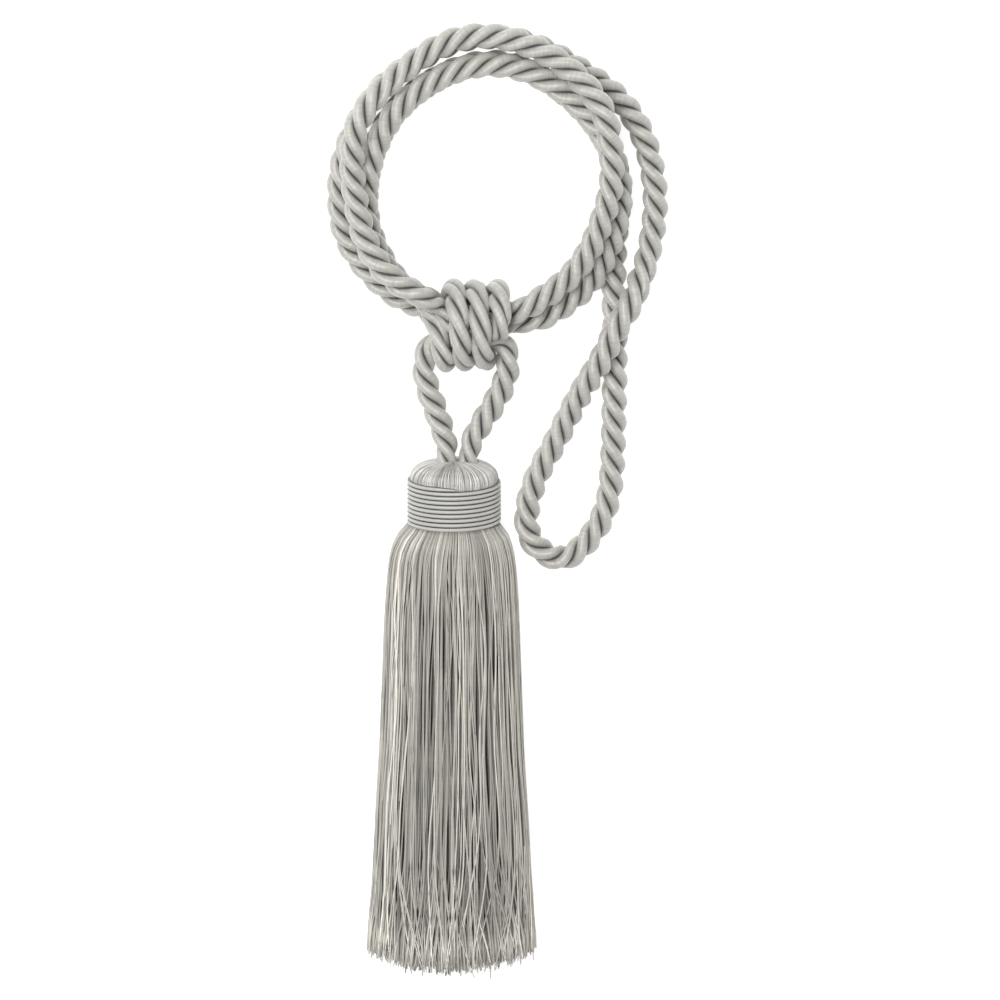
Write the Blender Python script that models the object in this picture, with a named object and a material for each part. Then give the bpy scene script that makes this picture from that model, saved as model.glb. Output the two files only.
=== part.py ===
"""Curtain tieback with one tassel, lying on its back, +Z up and the tassel pointing along -Y.

The tieback is made of three pieces. One satin cord, 1.9 m long, is coiled into a double ring with a loose
loop beside it, bound with three turns of itself, and ends in the tassel's head. The tassel is one bunch of
yarn folded over the cord's two ends. The collar is a thin gimp wound ten times round the bunch.
All sizes are in millimetres until a mesh or a curve is made.
"""
import math

import bmesh
import bpy
import numpy as np

MM = 0.001
GAP = 0.3                   # air between two pieces that touch

# The tassel: a round head on an axis along Y, and a skirt that lies flattened on its back.
AXIS_HEIGHT = 17.6          # height of the head's axis above the surface
NECK_RADIUS = 16.4          # the bunch of yarn under the collar
DOME_RADIUS = 17.2
DOME_BASE = 98.4            # y where the dome meets the collar
DOME_RISE = 6.7             # from the collar to the top, where the cord's two ends go in
DOME_ROUNDNESS = 2.4        # 2 is an ellipse; more has a fuller shoulder
DOME_RING_SHARES = (0.30, 0.55, 0.74, 0.87, 0.95, 0.985)   # of the dome's radius, from the top down
SKIRT_START = 80.7
LOCKS = 32                  # locks of yarn round the skirt
POINTS_PER_LOCK = 3
LOCK_DEPTH = 0.9
COMB_REACH = 4.9            # how far the longest locks pass the skirt's mean end
SKIRT_END = -98.4
SKIRT_LEAN = -0.85          # the skirt lies a little to the left of the head
SIDES_SOONER = 4.5          # the skirt's sides spread out, so they end this much before its middle

# The collar.
COLLAR_RADIUS = 18.4
COLLAR_TURNS = 10
COLLAR_SIDES = 40

# The knot: three turns of the cord round the four lengths that pass through it.
KNOT = np.array([8.6, 160.8, 18.1])   # centre of the knot
WRAP_RADIUS = 14.0          # from the knot's axis to the middle of the wrapping cord
WRAP_PITCH = 8.55
WRAP_THICK = 8.3
WRAP_LOW_SQUEEZE = 0.10     # the turns crowd together along the lower side
CORE_RADIUS = 5.55          # from the knot's axis to the middle of each length inside it
CORE_THICK = 6.5            # the lengths inside are squeezed
CORE_LEFT, CORE_RIGHT = -9.5, 7.5
CORE_TWIST = 97.0           # degrees that the four lengths turn about each other on their way through
CORD_THICK = 10.0
CORD_BODY = 0.96            # the tube is as thick as the twisted cord between its ridges and its grooves
CORD_SIDES_RESOLUTION = 2   # a bevel of eight sides
LONGEST_STEP = 23.5         # between two points of the tube on its straightest stretch
CHORD_RISE = 0.226          # on a bend, how far the curve rises from a straight step between two points

# The cord's route, from the left leg's end in the head to the right leg's: x, y, z and thickness.
LEFT_LEG = [
    (-2.6, 105.6, 17.8, 7.6), (-2.9, 111.4, 17.6, 8.8), (-5.2, 120.5, 17.4, 9.8), (-9.2, 132.0, 17.0, 10.0),
    (-11.6, 141.0, 16.4, 9.4), (-11.6, 147.0, 15.4, 8.6),
]
OUTER_RIGHT = [             # out of the knot and up the ring's right side, under the front turn
    (24.0, 160.3, 11.5, 9.4), (32.2, 161.5, 11.0, 10.0), (43.1, 167.2, 11.1, 10.0),
    (52.6, 176.0, 12.0, 10.0), (59.9, 189.6, 15.0, 10.0), (63.8, 203.0, 15.9, 10.0),
    (64.9, 216.0, 15.9, 10.0),
]
INNER_TURN = [              # over the top inside the front turn, down the left side and under to the knot
    (61.1, 230.6, 15.9, 10.0), (53.7, 243.3, 15.9, 10.0), (41.5, 255.4, 15.8, 10.0),
    (24.3, 264.1, 15.8, 10.0), (7.1, 264.6, 15.8, 10.0), (-9.0, 258.1, 15.8, 10.0),
    (-22.2, 246.7, 15.8, 10.0), (-30.2, 232.7, 15.8, 10.0), (-34.3, 215.2, 15.8, 10.0),
    (-33.2, 198.2, 17.6, 10.0), (-30.1, 191.0, 20.4, 9.8), (-25.0, 183.2, 22.2, 9.0),
    (-18.4, 177.3, 22.2, 8.4), (-13.1, 173.6, 21.0, 7.5),
]
HIDDEN_TURN = [             # back from the knot, below the inner turn all the way over to the right side
    (-11.8, 171.6, 11.9, 7.8), (-18.1, 175.0, 13.0, 9.0), (-24.2, 180.7, 12.4, 9.4),
    (-29.3, 188.5, 10.3, 9.8), (-32.6, 195.7, 7.6, 10.0), (-34.3, 212.4, 5.2, 10.0),
    (-30.5, 230.1, 5.2, 10.0), (-22.5, 244.2, 5.2, 10.0), (-9.2, 255.4, 5.2, 10.0),
    (7.1, 262.6, 5.2, 10.0), (24.5, 262.2, 5.2, 10.0), (41.5, 252.6, 5.2, 10.0),
    (53.7, 240.4, 5.2, 10.0), (61.1, 227.8, 5.2, 10.0), (64.5, 213.2, 5.2, 10.0),
    (63.7, 199.4, 5.2, 10.0),
]
LOOSE_LOOP = [              # down the right, round the bend and back up across itself
    (62.6, 183.0, 5.2, 10.0), (62.8, 163.5, 5.2, 10.0), (63.0, 139.5, 5.2, 10.0),
    (62.6, 119.0, 5.2, 10.0), (62.0, 100.5, 5.2, 10.0), (59.8, 84.5, 5.2, 10.0),
    (53.7, 72.0, 5.2, 10.0), (41.8, 63.1, 5.2, 10.0), (30.5, 70.5, 5.2, 10.0),
    (28.8, 83.0, 5.2, 10.0), (32.9, 97.2, 5.2, 10.0), (39.4, 109.8, 5.2, 10.0),
    (45.9, 123.2, 6.4, 10.0), (51.8, 135.2, 11.0, 10.0), (57.8, 146.5, 15.0, 10.0),
    (62.2, 156.0, 16.0, 10.0), (66.5, 163.7, 15.9, 10.0), (70.2, 170.7, 14.2, 10.0),
    (72.7, 177.0, 10.6, 10.0), (75.3, 184.0, 6.8, 10.0), (77.4, 193.0, 5.2, 10.0),
    (78.8, 206.7, 5.2, 10.0), (77.2, 222.5, 5.2, 10.0), (72.2, 237.9, 5.2, 10.0),
    (63.1, 250.3, 5.2, 10.0),
]
OUTER_TURN = [              # over the top below the front turn and down the ring's outer left side
    (49.6, 260.4, 5.2, 10.0), (35.1, 268.9, 5.2, 10.0), (17.9, 273.8, 5.2, 10.0),
    (0.9, 272.2, 5.2, 10.0), (-15.5, 263.7, 5.2, 10.0), (-29.2, 252.4, 5.2, 10.0),
    (-38.4, 237.6, 5.2, 10.0), (-43.7, 222.0, 5.2, 10.0), (-44.7, 208.3, 5.2, 10.0),
    (-42.4, 193.9, 5.2, 10.0), (-37.3, 184.3, 5.2, 10.0), (-30.4, 176.0, 5.2, 10.0),
    (-21.6, 168.9, 5.2, 10.0), (-13.3, 164.8, 6.4, 9.2),
]
FRONT_TURN = [              # the whole ring once more, on top of the other lengths
    (24.3, 166.6, 19.8, 9.2), (32.0, 171.0, 21.0, 10.0), (42.3, 178.7, 21.8, 10.0),
    (51.7, 190.5, 23.4, 10.0), (58.0, 205.7, 25.8, 10.0), (61.3, 219.0, 26.4, 10.0),
    (61.3, 234.3, 26.4, 10.0), (58.4, 248.7, 25.6, 10.0), (50.7, 259.4, 22.0, 10.0),
    (39.7, 268.1, 18.1, 10.0), (27.6, 273.9, 16.0, 10.0), (14.9, 276.9, 15.8, 10.0),
    (0.0, 275.4, 16.0, 10.0), (-15.7, 266.8, 17.2, 10.0), (-25.5, 259.2, 20.8, 10.0),
    (-33.7, 250.9, 24.8, 10.0), (-38.8, 239.1, 26.0, 10.0), (-39.4, 222.8, 26.0, 10.0),
    (-37.0, 206.4, 26.8, 10.0), (-34.1, 196.8, 28.6, 10.0), (-30.2, 189.9, 30.6, 10.0),
    (-24.7, 183.8, 31.8, 9.8), (-17.6, 178.7, 31.8, 9.4), (-11.8, 175.2, 30.6, 8.6),
]
RIGHT_LEG = [
    (20.9, 149.5, 18.0, 8.4), (20.9, 142.3, 17.6, 9.6), (18.3, 134.0, 17.2, 10.0), (12.0, 122.8, 17.3, 9.9),
    (7.2, 114.1, 17.6, 9.0), (6.1, 109.0, 17.7, 8.2), (5.9, 105.6, 17.8, 7.6),
]
# Short stretches beside the knot: x, y and z from the knot's centre, and thickness.
LEG_TO_CORE = [(-17.9, -8.8, -3.2, 7.6), (-13.9, -6.4, -1.6, 6.8)]
CORE_TO_OUTER_RIGHT = [(11.3, -1.6, -6.2, 7.6)]
INNER_TURN_TO_WRAPS = [(-18.6, 6.5, 1.8, 6.5), (-16.0, 1.2, 2.9, 6.2), (-14.4, -4.1, 6.9, 6.9)]
WRAPS_TO_CORE = [(10.0, 5.6, 12.2, 7.2), (9.9, 1.8, 11.3, 6.6), (9.0, -1.0, 9.0, 6.0), (7.2, -0.4, 6.9, 5.8)]
CORE_TO_HIDDEN_TURN = [(-14.9, 7.4, -4.4, 6.4)]
OUTER_TURN_TO_CORE = [(-17.7, 1.6, -8.8, 7.6), (-13.3, -0.8, -6.3, 6.8)]
CORE_TO_FRONT_TURN = [(11.5, 5.4, -0.6, 7.4)]
FRONT_TURN_TO_CORE = [(-17.2, 12.0, 9.8, 7.3), (-14.8, 9.5, 6.7, 6.0), (-12.2, 6.0, 5.3, 5.9)]
CORE_TO_RIGHT_LEG = [(10.5, -7.0, 0.5, 7.4)]
FRONT_SLOT, TOP_SLOT, BACK_SLOT, LOW_SLOT = 22.0, 106.0, 192.0, 281.0   # degrees, at the core's left end


def clear_scene():
    for item in list(bpy.data.objects):
        bpy.data.objects.remove(item, do_unlink=True)


def material(name, colour, roughness):
    """A cloth material of one colour."""
    made = bpy.data.materials.new(name)
    made.use_nodes = True
    shader = made.node_tree.nodes["Principled BSDF"]
    shader.inputs["Base Color"].default_value = (*colour, 1.0)
    shader.inputs["Roughness"].default_value = roughness
    shader.inputs["Metallic"].default_value = 0.0
    shader.inputs["Sheen Weight"].default_value = 0.2
    return made


def beside_knot(points):
    """Points given from the knot's centre, as points of the whole route."""
    return [(x + KNOT[0], y + KNOT[1], z + KNOT[2], thick) for x, y, z, thick in points]


def core_points(slot, last_x=CORE_RIGHT):
    """One squeezed length inside the knot, left to right, turning with its three neighbours."""
    points = []
    for x in np.linspace(CORE_LEFT, last_x, 4):
        turned = slot - CORE_TWIST * (x - CORE_LEFT) / (CORE_RIGHT - CORE_LEFT)
        y = CORE_RADIUS * math.sin(math.radians(turned))
        z = CORE_RADIUS * math.cos(math.radians(turned))
        points.append((x, y, z, CORE_THICK))
    return beside_knot(points)


def wrap_points():
    """The turns round the knot: a helix about X, from the first turn's low front to the last's high front."""
    points = []
    for turned in range(-210, 751, 30):
        angle = math.radians(turned)
        low = (1.0 - math.cos(angle)) / 2.0
        x = WRAP_PITCH * (turned / 360.0 - 1.0) * (1.0 - WRAP_LOW_SQUEEZE * low)
        y = WRAP_RADIUS * math.cos(angle)
        z = WRAP_RADIUS * math.sin(angle)
        points.append((x, y, z, WRAP_THICK * (1.0 - 0.08 * low)))
    return beside_knot(points)


def cord_route():
    """The whole cord, in the order in which a hand would follow it."""
    return [
        *LEFT_LEG, *beside_knot(LEG_TO_CORE),
        *core_points(LOW_SLOT), *beside_knot(CORE_TO_OUTER_RIGHT),
        *OUTER_RIGHT, *INNER_TURN, *beside_knot(INNER_TURN_TO_WRAPS),
        *wrap_points(), *beside_knot(WRAPS_TO_CORE),
        *core_points(TOP_SLOT, last_x=4.0)[::-1], *beside_knot(CORE_TO_HIDDEN_TURN),
        *HIDDEN_TURN, *LOOSE_LOOP, *OUTER_TURN, *beside_knot(OUTER_TURN_TO_CORE),
        *core_points(BACK_SLOT), *beside_knot(CORE_TO_FRONT_TURN),
        *FRONT_TURN, *beside_knot(FRONT_TURN_TO_CORE),
        *core_points(FRONT_SLOT), *beside_knot(CORE_TO_RIGHT_LEG),
        *RIGHT_LEG,
    ]


def smooth_curve(points, samples=24000):
    """A curve with continuous bend through the points: a natural cubic spline, as many close samples."""
    given = np.array(points, float)
    spans = np.linalg.norm(np.diff(given[:, :3], axis=0), axis=1) ** 0.75
    knots = np.concatenate([[0.0], np.cumsum(spans)])
    count = len(given)
    system = np.zeros((count, count))
    right = np.zeros((count, given.shape[1]))
    system[0, 0] = system[-1, -1] = 1.0
    slopes = np.diff(given, axis=0) / spans[:, None]
    for i in range(1, count - 1):
        system[i, i - 1:i + 2] = spans[i - 1], 2.0 * (spans[i - 1] + spans[i]), spans[i]
        right[i] = 6.0 * (slopes[i] - slopes[i - 1])
    bends = np.linalg.solve(system, right)
    at = np.linspace(0.0, knots[-1], samples)
    i = np.clip(np.searchsorted(knots, at) - 1, 0, count - 2)
    span = spans[i][:, None]
    before = (knots[i + 1] - at)[:, None] / span
    after = 1.0 - before
    curve = before * given[i] + after * given[i + 1]
    pull = (before ** 3 - before) * bends[i] + (after ** 3 - after) * bends[i + 1]
    curve[:, :3] += (pull * span ** 2 / 6.0)[:, :3]
    return curve


def tube_points(curve):
    """Points along the curve for the tube: wide apart where it is straight, close together on tight bends."""
    steps = np.linalg.norm(np.diff(curve[:, :3], axis=0), axis=1)
    along = np.concatenate([[0.0], np.cumsum(steps)])
    even = np.arange(0.0, along[-1], 1.0)
    line = np.stack([np.interp(even, along, curve[:, k]) for k in range(4)], axis=1)
    heading = np.gradient(line[:, :3], axis=0)
    heading /= np.linalg.norm(heading, axis=1)[:, None]
    bend = np.linalg.norm(np.gradient(heading, axis=0), axis=1)
    bend = np.convolve(np.pad(bend, 4, mode="edge"), np.ones(9) / 9.0, mode="valid")
    needed = np.maximum(1.0 / LONGEST_STEP, np.sqrt(bend / (8.0 * CHORD_RISE)))
    reached = np.concatenate([[0.0], np.cumsum((needed[1:] + needed[:-1]) / 2.0)])
    count = int(round(reached[-1])) + 1
    places = np.interp(np.linspace(0.0, reached[-1], count), reached, even)
    points = np.stack([np.interp(places, along, curve[:, k]) for k in range(4)], axis=1)
    points[-1] = curve[-1]
    return points


def make_cord():
    """The cord as one tube, with its ends cut square where they meet the head."""
    points = tube_points(smooth_curve(cord_route()))
    shape = bpy.data.curves.new("cord", "CURVE")
    shape.dimensions = "3D"
    shape.bevel_depth = CORD_THICK / 2.0 * MM
    shape.bevel_resolution = CORD_SIDES_RESOLUTION
    shape.use_fill_caps = True
    spline = shape.splines.new("POLY")
    spline.points.add(len(points) - 1)
    for place, (x, y, z, thick) in zip(spline.points, points):
        place.co = (x * MM, y * MM, z * MM, 1.0)
        place.radius = CORD_BODY * thick / CORD_THICK
    shape.materials.append(material("satin_cord", (0.50, 0.50, 0.48), 0.45))
    cord = bpy.data.objects.new("cord", shape)
    bpy.context.collection.objects.link(cord)
    return cord


def mesh_from_rings(name, rings, colour, roughness, closed_ends=True):
    """A closed solid through rings of equally many points, each ring joined to the next.

    With closed ends a fan closes the first and last ring. Without, the last ring joins the first.
    """
    shape = bmesh.new()
    loops = [[shape.verts.new(tuple(c * MM for c in point)) for point in ring] for ring in rings]
    count = len(loops[0])
    pairs = list(zip(loops, loops[1:] + ([] if closed_ends else loops[:1])))
    for first, second in pairs:
        for i in range(count):
            j = (i + 1) % count
            shape.faces.new((first[i], first[j], second[j], second[i]))
    if closed_ends:
        for ring in (loops[0], loops[-1]):
            middle = shape.verts.new(tuple(sum(v.co[k] for v in ring) / count for k in range(3)))
            for i in range(count):
                shape.faces.new((ring[i], ring[(i + 1) % count], middle))
    bmesh.ops.triangulate(shape, faces=shape.faces[:])
    bmesh.ops.recalc_face_normals(shape, faces=shape.faces[:])
    made = bpy.data.meshes.new(name)
    shape.to_mesh(made)
    shape.free()
    made.shade_smooth()
    made.set_sharp_from_angle(angle=math.radians(40.0))
    made.materials.append(material(name + "_yarn", colour, roughness))
    piece = bpy.data.objects.new(name, made)
    bpy.context.collection.objects.link(piece)
    return piece


def round_ring(y, radius, count):
    """A circle about the head's axis, flattened where it would pass below the surface."""
    ring = []
    for i in range(count):
        angle = 2.0 * math.pi * i / count
        z = AXIS_HEIGHT + radius * math.sin(angle)
        ring.append((radius * math.cos(angle), y, max(z, 0.0)))
    return ring


def lock_wave(i, row):
    """How far the skirt's surface stands out at one point: ridges of yarn with narrow furrows between."""
    lock, place = divmod(i, POINTS_PER_LOCK)
    unevenness = 0.45 * math.sin(lock * 2.4 + row * 0.35) + 0.30 * math.sin(lock * 5.1 + 1.0)
    furrow = 1.0 if place == 0 else 0.0
    return LOCK_DEPTH * (0.5 * unevenness - furrow)


def skirt_lean(y):
    """How far the skirt's middle lies to the side: eased in over its first 14 mm below the collar."""
    t = min(max((SKIRT_START - y) / 14.0, 0.0), 1.0)
    return SKIRT_LEAN * t * t * (3.0 - 2.0 * t)


def skirt_ring(y, half_width, height, depth_below, row):
    """One section of the skirt: a flattened round lying on the surface, ridged by its locks.

    depth_below says how far the round would reach under the surface if it weren't flattened there.
    """
    count = LOCKS * POINTS_PER_LOCK
    middle = (height - depth_below) / 2.0
    tall = (height + depth_below) / 2.0
    ring = []
    for i in range(count):
        angle = 2.0 * math.pi * i / count
        out = lock_wave(i, row) if row > 0 else 0.0
        x = skirt_lean(y) + (half_width + out) * math.cos(angle)
        z = middle + (tall + out) * math.sin(angle)
        ring.append((x, y, max(z, 0.0)))
    return ring


def comb_ring(section, share, reach, row):
    """The skirt's ragged end: each lock reaches its own way past the mean end, with notches between."""
    y, half_width, height, depth_below = section
    ring = []
    for i, (x, _, z) in enumerate(skirt_ring(y, half_width, height, depth_below, row)):
        lock, place = divmod(i, POINTS_PER_LOCK)
        longer = 0.55 * math.sin(lock * 1.9) + 0.45 * math.sin(lock * 3.7 + 0.6)
        tip = longer if place else -1.0
        middle = height / 2.0
        z_in = middle + (z - middle) * share if z > 0.0 else z
        sooner = SIDES_SOONER * (x / half_width) ** 2
        ring.append((x * share, y + sooner - reach * tip, z_in if share > 0.9 else max(z_in, 1.5)))
    return ring


def make_tassel():
    """The bunch of yarn in one solid: dome, neck under the collar, and the flattened skirt."""
    count = LOCKS * POINTS_PER_LOCK
    dome = []
    for share in DOME_RING_SHARES:
        rise = (1.0 - share ** DOME_ROUNDNESS) ** (1.0 / DOME_ROUNDNESS)
        dome.append((DOME_BASE + DOME_RISE * rise, DOME_RADIUS * share))
    dome += [(DOME_BASE, DOME_RADIUS), (DOME_BASE, NECK_RADIUS), (SKIRT_START, NECK_RADIUS)]
    rings = [round_ring(y, radius, count) for y, radius in dome]
    # y, half width, height, depth below the surface
    skirt = [
        (SKIRT_START, 17.4, 35.0, -0.2),
        (76.5, 20.9, 36.0, 0.6),
        (70.0, 23.6, 36.6, 1.2),
        (61.0, 24.7, 36.2, 1.8),
        (47.0, 25.6, 35.0, 2.2),
        (30.0, 26.2, 33.4, 2.4),
        (10.0, 26.9, 31.8, 2.4),
        (-12.0, 27.8, 30.0, 2.4),
        (-34.0, 29.1, 28.4, 2.4),
        (-56.0, 30.1, 26.8, 2.4),
        (-76.0, 30.8, 25.2, 2.4),
        (-90.0, 31.2, 24.2, 2.4),
    ]
    for row, (y, half_width, height, depth_below) in enumerate(skirt):
        rings.append(skirt_ring(y, half_width, height, depth_below, row))
    end = (SKIRT_END, 31.4, 23.6, 2.4)
    rings.append(comb_ring(end, 1.0, COMB_REACH, len(skirt)))
    rings.append(comb_ring((SKIRT_END + 3.0, 31.4, 23.6, 2.4), 0.72, 2.0, len(skirt)))
    return mesh_from_rings("tassel", rings, (0.52, 0.52, 0.50), 0.55)


def make_collar():
    """The wound collar: a band round the neck, with one low ridge for each of its turns."""
    turn = (DOME_BASE - SKIRT_START - 2.0 * GAP) / COLLAR_TURNS
    start = DOME_BASE - GAP
    outside = [(start, COLLAR_RADIUS - turn / 2.0)]
    for i in range(COLLAR_TURNS):
        outside.append((start - turn * (i + 0.5), COLLAR_RADIUS))
        outside.append((start - turn * (i + 1.0), COLLAR_RADIUS - turn / 2.0))
    inner_radius = NECK_RADIUS + GAP
    inside = [(start - turn * COLLAR_TURNS, inner_radius), (start, inner_radius)]
    rings = [round_ring(y, radius, COLLAR_SIDES) for y, radius in outside + inside]
    return mesh_from_rings("collar", rings, (0.48, 0.48, 0.46), 0.5, closed_ends=False)


clear_scene()
make_cord()
make_tassel()
make_collar()
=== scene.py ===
import math

import bpy
import numpy as np
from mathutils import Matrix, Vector


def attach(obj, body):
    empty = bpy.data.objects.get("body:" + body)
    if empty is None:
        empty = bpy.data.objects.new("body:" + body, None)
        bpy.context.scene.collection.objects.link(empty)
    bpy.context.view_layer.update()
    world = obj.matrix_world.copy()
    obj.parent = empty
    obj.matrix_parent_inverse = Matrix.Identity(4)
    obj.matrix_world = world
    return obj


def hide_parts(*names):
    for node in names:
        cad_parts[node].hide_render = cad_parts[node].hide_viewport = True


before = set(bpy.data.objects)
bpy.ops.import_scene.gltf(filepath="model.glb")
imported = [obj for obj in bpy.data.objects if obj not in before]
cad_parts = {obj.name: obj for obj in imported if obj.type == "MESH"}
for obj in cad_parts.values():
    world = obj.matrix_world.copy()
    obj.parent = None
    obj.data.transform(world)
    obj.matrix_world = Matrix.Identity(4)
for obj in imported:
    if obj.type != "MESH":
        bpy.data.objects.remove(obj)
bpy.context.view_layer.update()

# ---------------------------------------------------------------------------------------------------
# Camera, light and floor. The tieback lies on a white table and is seen from almost straight above,
# from a little beyond its ring, through a long lens, under a wide soft light from the upper left.
# ---------------------------------------------------------------------------------------------------
MM = 0.001                                     # a millimetre, in the scene's metres
FRAME_WIDTH = 392.0                            # of the table, across the picture
AIM = Vector((18.03, 85.2, 0.0)) * MM
TILT = math.radians(15.0)                      # from straight down, leaning in from the ring's side
CAMERA_DISTANCE = 15.0                         # metres, so far off that the rope hardly narrows away
CLIP_END = 40.0
SENSOR = 36.0
KEY_PLACE, KEY_SIZE, KEY_WATTS = (-0.5, 0.95, 2.1), 0.9, 46.0   # the lights' places and sizes in metres
FILL_PLACE, FILL_SIZE, FILL_WATTS = (1.3, -0.6, 1.6), 1.6, 4.0
ROOM_LIGHT = 0.36                              # of the white world around
FLOOR_HALF = 3.0
FLOOR_GREY = 0.70
FLOOR_GLOW = 0.74                              # so that the table shows almost white

camera = bpy.data.objects.new("camera", bpy.data.cameras.new("camera"))
camera.data.sensor_width = SENSOR
camera.data.lens = SENSOR * CAMERA_DISTANCE / (FRAME_WIDTH * MM)
camera.data.clip_end = CLIP_END
backwards = Vector((0.0, math.sin(TILT), math.cos(TILT)))
camera.location = AIM + backwards * CAMERA_DISTANCE
camera.rotation_euler = (-TILT, 0.0, 0.0)
bpy.context.collection.objects.link(camera)
bpy.context.scene.camera = camera
bpy.context.scene.view_settings.view_transform = "Standard"


def soft_light(name, place, size, watts):
    """A square white area light at a place, turned towards the middle of the tieback."""
    lamp = bpy.data.lights.new(name, "AREA")
    lamp.shape = "SQUARE"
    lamp.size = size
    lamp.energy = watts
    made = bpy.data.objects.new(name, lamp)
    made.location = place
    made.rotation_euler = (AIM - Vector(place)).to_track_quat("-Z", "Y").to_euler()
    bpy.context.collection.objects.link(made)


soft_light("key_light", KEY_PLACE, KEY_SIZE, KEY_WATTS)
soft_light("fill_light", FILL_PLACE, FILL_SIZE, FILL_WATTS)

world = bpy.data.worlds.new("studio")
world.use_nodes = True
surround = world.node_tree.nodes["Background"]
surround.inputs["Color"].default_value = (1.0, 1.0, 1.0, 1.0)
surround.inputs["Strength"].default_value = ROOM_LIGHT
bpy.context.scene.world = world

floor_mesh = bpy.data.meshes.new("table_top")
corners = [(-1, -1), (1, -1), (1, 1), (-1, 1)]
floor_mesh.from_pydata([(x * FLOOR_HALF, y * FLOOR_HALF, 0.0) for x, y in corners], [], [(0, 1, 2, 3)])
floor = bpy.data.objects.new("table_top", floor_mesh)
bpy.context.collection.objects.link(floor)
paper = bpy.data.materials.new("white_paper")
paper.use_nodes = True
paper_face = paper.node_tree.nodes["Principled BSDF"].inputs
paper_face["Base Color"].default_value = (FLOOR_GREY, FLOOR_GREY, FLOOR_GREY, 1.0)
paper_face["Roughness"].default_value = 0.9
paper_face["Specular IOR Level"].default_value = 0.1
paper_face["Emission Color"].default_value = (1.0, 1.0, 1.0, 1.0)
paper_face["Emission Strength"].default_value = FLOOR_GLOW
floor_mesh.materials.append(paper)

# ---------------------------------------------------------------------------------------------------
# The cord: three strands twisted to the left, each wrapped in fine viscose thread, 1.9 m in one length.
# It is coiled into a double ring with a loose loop, bound with three turns of itself, and both its ends
# are sewn into the tassel's head. The points are where its middle runs, in millimetres.
# ---------------------------------------------------------------------------------------------------
KNOT = np.array([8.6, 160.8, 18.1])
WRAP_RADIUS = 14.0
WRAP_PITCH = 8.55
WRAP_START, WRAP_END, WRAP_STEP = -210.0, 750.0, 30.0   # degrees about the knot's axis
WRAP_THICK = 8.3
WRAP_LOW_SQUEEZE = 0.10                        # how much closer the turns lie underneath
WRAP_LOW_THINNING = 0.08                       # and how much thinner they are there
CORE_RADIUS = 5.55
CORE_THICK = 6.5
CORE_LEFT, CORE_RIGHT = -9.5, 7.5
CORE_POINTS = 4
CORE_TWIST = 97.0                              # degrees that the four lengths turn about each other inside
SQUEEZE_START, SQUEEZE_WIDTH = 9.2, 3.0        # near the knot, a length thinner than this is squeezed
STRANDS = 3
LAY = 25.6                                     # along the cord for one whole twist of its strands
LAY_IN_WRAPS = 36.8                            # longer in the binding turns, where the cord is drawn out
WRAPS_REACH = 19.5                             # from the knot's centre, where the longer lay ends
KNOT_REACH = 25.0                              # from the knot's centre, where squeezed lengths fill out
FADE = 1.2                                     # how gradually both change there
WRAPS_START, WRAPS_WIDTH = 9.0, 3.0            # from the knot's axis, where the binding turns begin
WRAP_FULLNESS = 1.10                           # the binding turns swell until they touch each other
SQUEEZE_SWELL = 0.24                           # how much a squeezed length bulges between its neighbours
CORD_FULLNESS = 1.03                           # its strands stand a little over its mean thickness
STRAND_RADIUS = 0.50                           # as a share of the cord's radius
STRAND_OFFSET = 0.50                           # from the cord's middle to a strand's middle
ENDS_IN_HEAD = 2.5                             # how far the cord's ends go on into the tassel's head
POINTS_PER_STRAND = 14
POINTS_TO_FURROWS = 1.35                       # above 1, a strand's points stand closer by its furrows
CORD_STEP = 1.05                               # between two rings of the cord's mesh
FLANK_SHADE = 0.38                             # of a furrow's painted shade, that a strand's flank takes on
FURROW_START, FURROW_WIDTH = 0.72, 0.24        # as shares of a strand's half width
FURROW_LEAST = 0.50                            # of its painted shade, that a furrow keeps at the cord's two sides
SIDE_END, SIDE_WIDTH = 0.20, 0.40              # upward shares of the way out, where the sides end
THREAD_HEIGHT, STREAK_HEIGHT = 0.25, 1.2       # of the threads and of broader streaks, in the bump
STREAK_THREADS = 2.2                           # threads that a streak's one step takes in
SATIN_SHEEN, SHEEN_ROUGHNESS = 0.25, 0.4

# x, y, z and thickness of the cord, from its one end to its other. The left leg, up from the head.
LEFT_LEG = [
    (-2.6, 105.6, 17.8, 7.6), (-2.9, 111.4, 17.6, 8.8), (-5.2, 120.5, 17.4, 9.8), (-9.2, 132.0, 17.0, 10.0),
    (-11.6, 141.0, 16.4, 9.4), (-11.6, 147.0, 15.4, 8.6),
]
# Out of the knot and up the ring's right side, under the front turn.
OUTER_RIGHT = [
    (24.0, 160.3, 11.5, 9.4), (32.2, 161.5, 11.0, 10.0), (43.1, 167.2, 11.1, 10.0),
    (52.6, 176.0, 12.0, 10.0), (59.9, 189.6, 15.0, 10.0), (63.8, 203.0, 15.9, 10.0),
    (64.9, 216.0, 15.9, 10.0),
]
# Over the top inside the front turn, down the left side and under to the knot.
INNER_TURN = [
    (61.1, 230.6, 15.9, 10.0), (53.7, 243.3, 15.9, 10.0), (41.5, 255.4, 15.8, 10.0),
    (24.3, 264.1, 15.8, 10.0), (7.1, 264.6, 15.8, 10.0), (-9.0, 258.1, 15.8, 10.0),
    (-22.2, 246.7, 15.8, 10.0), (-30.2, 232.7, 15.8, 10.0), (-34.3, 215.2, 15.8, 10.0),
    (-33.2, 198.2, 17.6, 10.0), (-30.1, 191.0, 20.4, 9.8), (-25.0, 183.2, 22.2, 9.0),
    (-18.4, 177.3, 22.2, 8.4), (-13.1, 173.6, 21.0, 7.5),
]
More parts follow.
